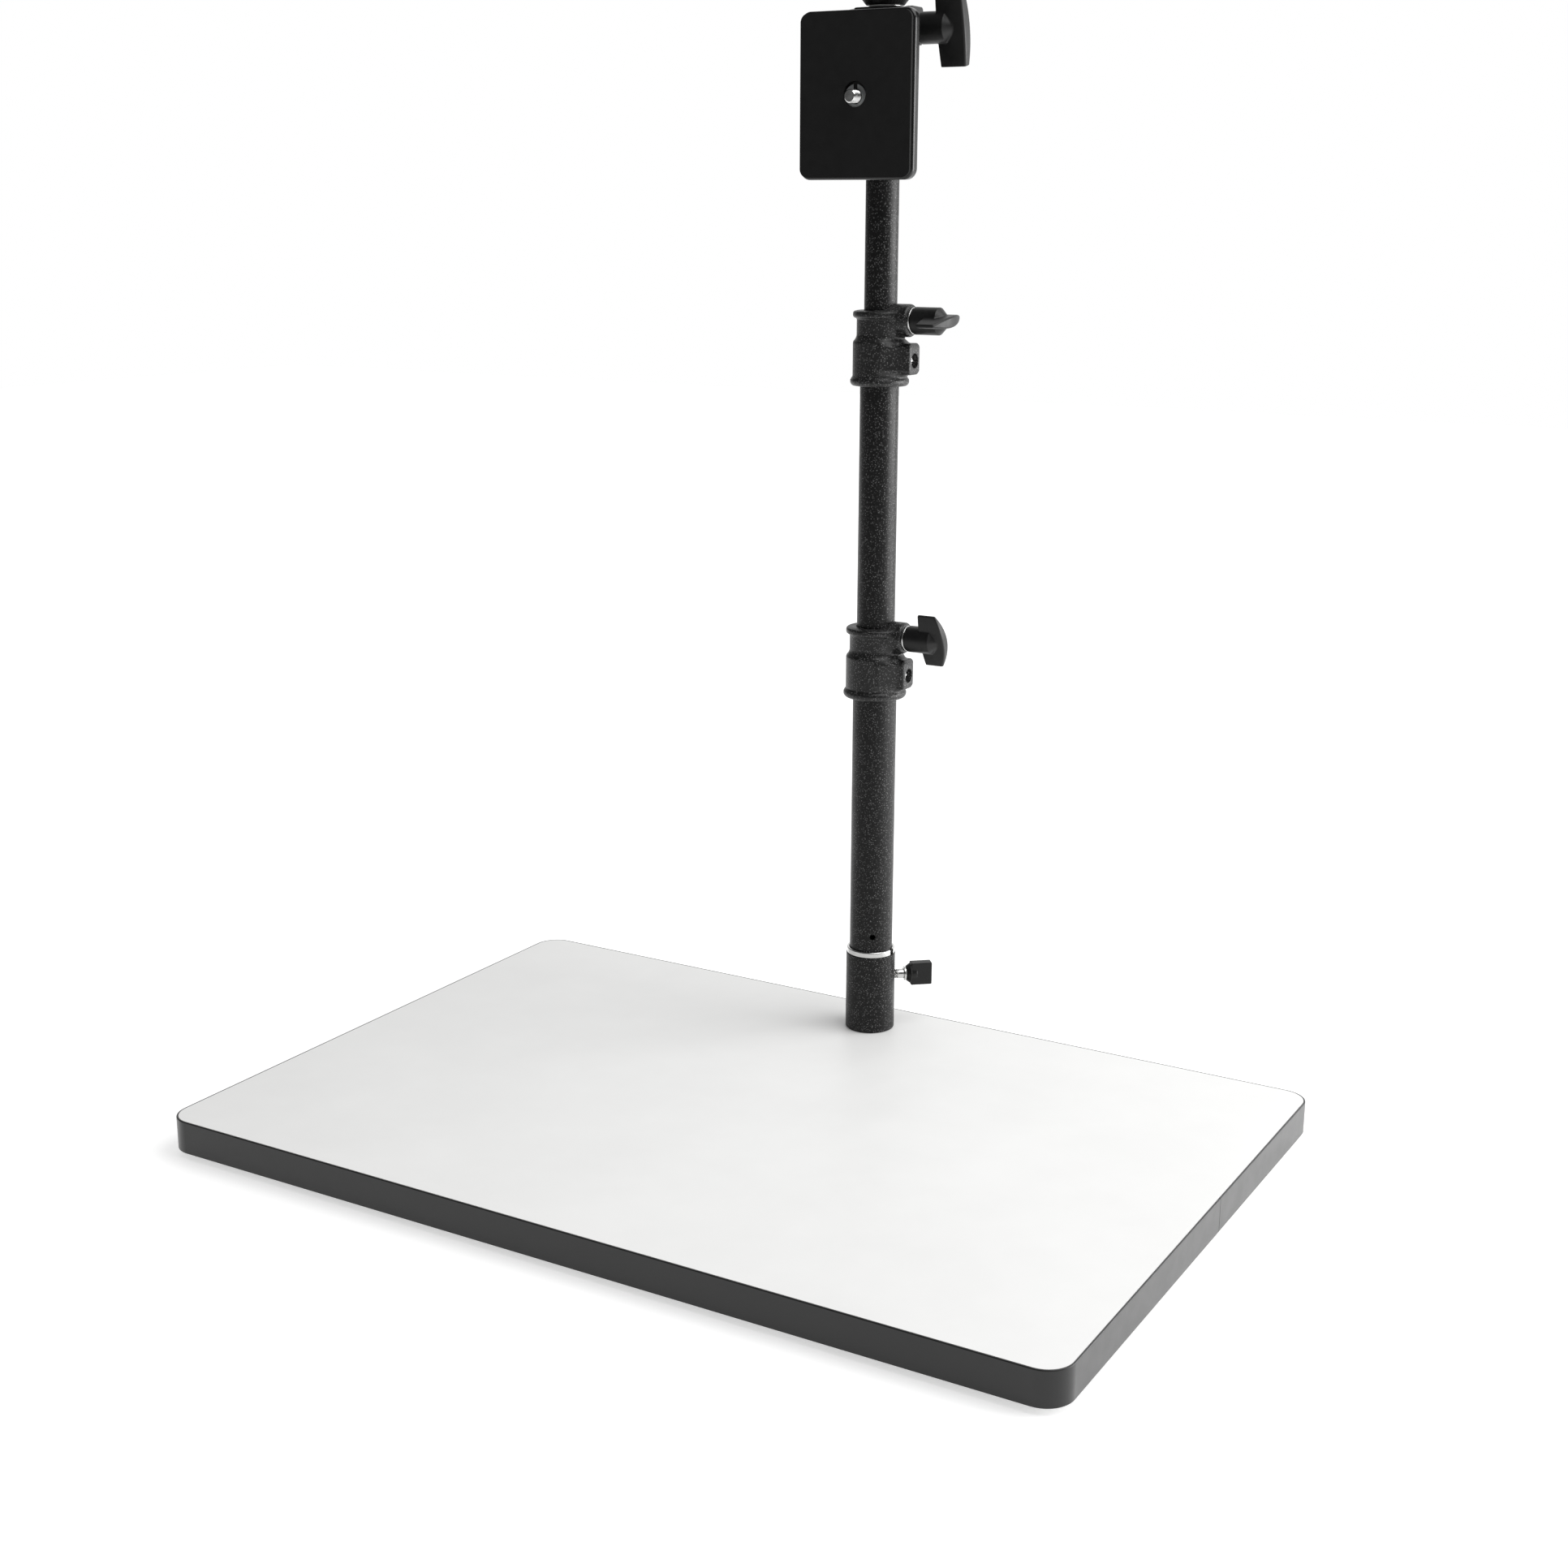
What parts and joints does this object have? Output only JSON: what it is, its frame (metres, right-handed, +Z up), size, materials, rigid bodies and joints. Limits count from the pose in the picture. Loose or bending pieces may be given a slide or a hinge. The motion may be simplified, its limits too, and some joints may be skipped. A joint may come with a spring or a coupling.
{
  "type": "copy stand",
  "caption": "Desktop copy stand: white laminated baseboard, telescopic black column with T-knob clamps, and a small pan and tilt head that carries a camera platform.",
  "frame": {"origin": "middle of the baseboard in plan, at the level of the feet", "axes": "+Z up along the column, +X along the board towards the clamp knobs, +Y towards the column at the back"},
  "size_m": [0.4572, 0.3048, 0.5354],
  "materials": {
    "particle_board": "raw pressed chips",
    "white_laminate": "fine matt texture",
    "black_edge_band": "satin edge banding",
    "rubber": "matt moulded",
    "black_powder_coat": "fine textured powder coat",
    "black_enamel": "smooth satin enamel",
    "black_moulding": "satin moulded nylon",
    "black_knob": "satin moulded nylon",
    "bright_nickel": "bright nickel plate",
    "zinc_steel": "zinc plated",
    "nylon": "natural moulded nylon"
  },
  "bodies": {
    "base": {"baseboard_core": "particle_board", "top_laminate": "white_laminate", "bottom_laminate": "white_laminate", "edge_band": "black_edge_band", "foot_front_left": "rubber", "foot_front_right": "rubber", "foot_back_left": "rubber", "foot_back_right": "rubber", "column_socket": "black_powder_coat", "socket_bush": "bright_nickel", "socket_bolt": "zinc_steel", "socket_bolt_washer": "zinc_steel"},
    "socket_thumbscrew_tip": {"socket_screw_tip": "nylon", "socket_screw_ferrule": "bright_nickel"},
    "socket_thumbscrew": {"socket_screw": "bright_nickel", "socket_wing_knob": "black_knob"},
    "lower_section": {"lower_tube": "black_powder_coat", "lower_collar": "black_moulding", "lower_collar_screw": "bright_nickel", "lower_clamp_nut": "zinc_steel"},
    "lower_clamp_press": {"lower_clamp_shoe": "nylon", "lower_clamp_washer": "bright_nickel"},
    "lower_clamp": {"lower_clamp_stud": "zinc_steel", "lower_clamp_knob": "black_knob"},
    "middle_section": {"middle_tube": "black_powder_coat", "middle_tube_glide": "nylon", "upper_collar": "black_moulding", "upper_collar_screw": "bright_nickel", "upper_clamp_nut": "zinc_steel"},
    "upper_clamp_press": {"upper_clamp_shoe": "nylon", "upper_clamp_washer": "bright_nickel"},
    "upper_clamp": {"upper_clamp_stud": "zinc_steel", "upper_clamp_knob": "black_knob"},
    "upper_section": {"upper_tube": "black_powder_coat", "upper_tube_glide": "nylon", "head_spigot": "zinc_steel", "spigot_screw": "black_powder_coat"},
    "head": {"pan_washer": "nylon", "head_body": "black_enamel", "tilt_pivot_screw": "zinc_steel"},
    "pan_knob_press": {"pan_knob_washer": "bright_nickel"},
    "pan_knob": {"pan_lock_knob": "black_knob"},
    "camera_platform": {"tilt_bracket": "black_enamel", "platform_pad": "rubber", "camera_screw_clip": "zinc_steel"},
    "tilt_knob_press": {"tilt_washer": "bright_nickel"},
    "tilt_lock": {"tilt_stud": "zinc_steel", "tilt_knob": "black_knob"},
    "platform_screw": {"camera_screw": "bright_nickel"}
  },
  "joints": [
    {"name": "column_swivel", "type": "hinge", "parent": "base", "child": "lower_section", "pos_m": [0, 0.1239, 0.03], "axis": [0, 0, 1], "continuous": true},
    {"name": "socket_screw_turn", "type": "hinge", "parent": "socket_thumbscrew_tip", "child": "socket_thumbscrew", "pos_m": [0, 0.1239, 0.0468], "axis": [0.766, 0.6428, 0], "range_deg": [0, 720]},
    {"name": "socket_screw_travel", "type": "slide", "parent": "base", "child": "socket_thumbscrew_tip", "axis": [0.766, 0.6428, 0], "range_m": [0, 0.0016]},
    {"name": "middle_slide", "type": "slide", "parent": "lower_section", "child": "middle_section", "axis": [0, 0, 1], "range_m": [-0.115, 0.02]},
    {"name": "lower_clamp_turn", "type": "hinge", "parent": "lower_clamp_press", "child": "lower_clamp", "pos_m": [0, 0.1239, 0.2277], "axis": [1, 0, 0], "range_deg": [0, 720]},
    {"name": "lower_clamp_travel", "type": "slide", "parent": "lower_section", "child": "lower_clamp_press", "axis": [1, 0, 0], "range_m": [0, 0.002]},
    {"name": "upper_slide", "type": "slide", "parent": "middle_section", "child": "upper_section", "axis": [0, 0, 1], "range_m": [-0.047, 0.06]},
    {"name": "upper_clamp_turn", "type": "hinge", "parent": "upper_clamp_press", "child": "upper_clamp", "pos_m": [0, 0.1239, 0.3824], "axis": [1, 0, 0], "range_deg": [0, 720]},
    {"name": "upper_clamp_travel", "type": "slide", "parent": "middle_section", "child": "upper_clamp_press", "axis": [1, 0, 0], "range_m": [0, 0.002]},
    {"name": "head_pan", "type": "hinge", "parent": "upper_section", "child": "head", "pos_m": [0, 0.1239, 0.485], "axis": [0, 0, 1], "continuous": true},
    {"name": "pan_knob_turn", "type": "hinge", "parent": "pan_knob_press", "child": "pan_knob", "pos_m": [0, 0.1239, 0.5258], "axis": [0, 0, 1], "range_deg": [0, 360]},
    {"name": "pan_knob_travel", "type": "slide", "parent": "upper_section", "child": "pan_knob_press", "axis": [0, 0, 1], "range_m": [0, 0.00125]},
    {"name": "head_tilt", "type": "hinge", "parent": "head", "child": "camera_platform", "pos_m": [0, 0.1239, 0.515], "axis": [-1, 0, 0], "range_deg": [-5, 90]},
    {"name": "tilt_knob_turn", "type": "hinge", "parent": "tilt_knob_press", "child": "tilt_lock", "pos_m": [0, 0.1239, 0.515], "axis": [1, 0, 0], "range_deg": [0, 720]},
    {"name": "tilt_knob_travel", "type": "slide", "parent": "head", "child": "tilt_knob_press", "axis": [1, 0, 0], "range_m": [0, 0.002]},
    {"name": "camera_screw_turn", "type": "hinge", "parent": "camera_platform", "child": "platform_screw", "pos_m": [0, 0.1014, 0.484], "axis": [0, 1, 0], "continuous": true}
  ],
  "couplings": [
    {"joint": "socket_screw_travel", "follows": "socket_screw_turn", "m_per_rad": 0.00012732},
    {"joint": "lower_clamp_travel", "follows": "lower_clamp_turn", "m_per_rad": 0.00015915},
    {"joint": "upper_clamp_travel", "follows": "upper_clamp_turn", "m_per_rad": 0.00015915},
    {"joint": "pan_knob_travel", "follows": "pan_knob_turn", "m_per_rad": 0.00019894},
    {"joint": "tilt_knob_travel", "follows": "tilt_knob_turn", "m_per_rad": 0.00015915}
  ]
}
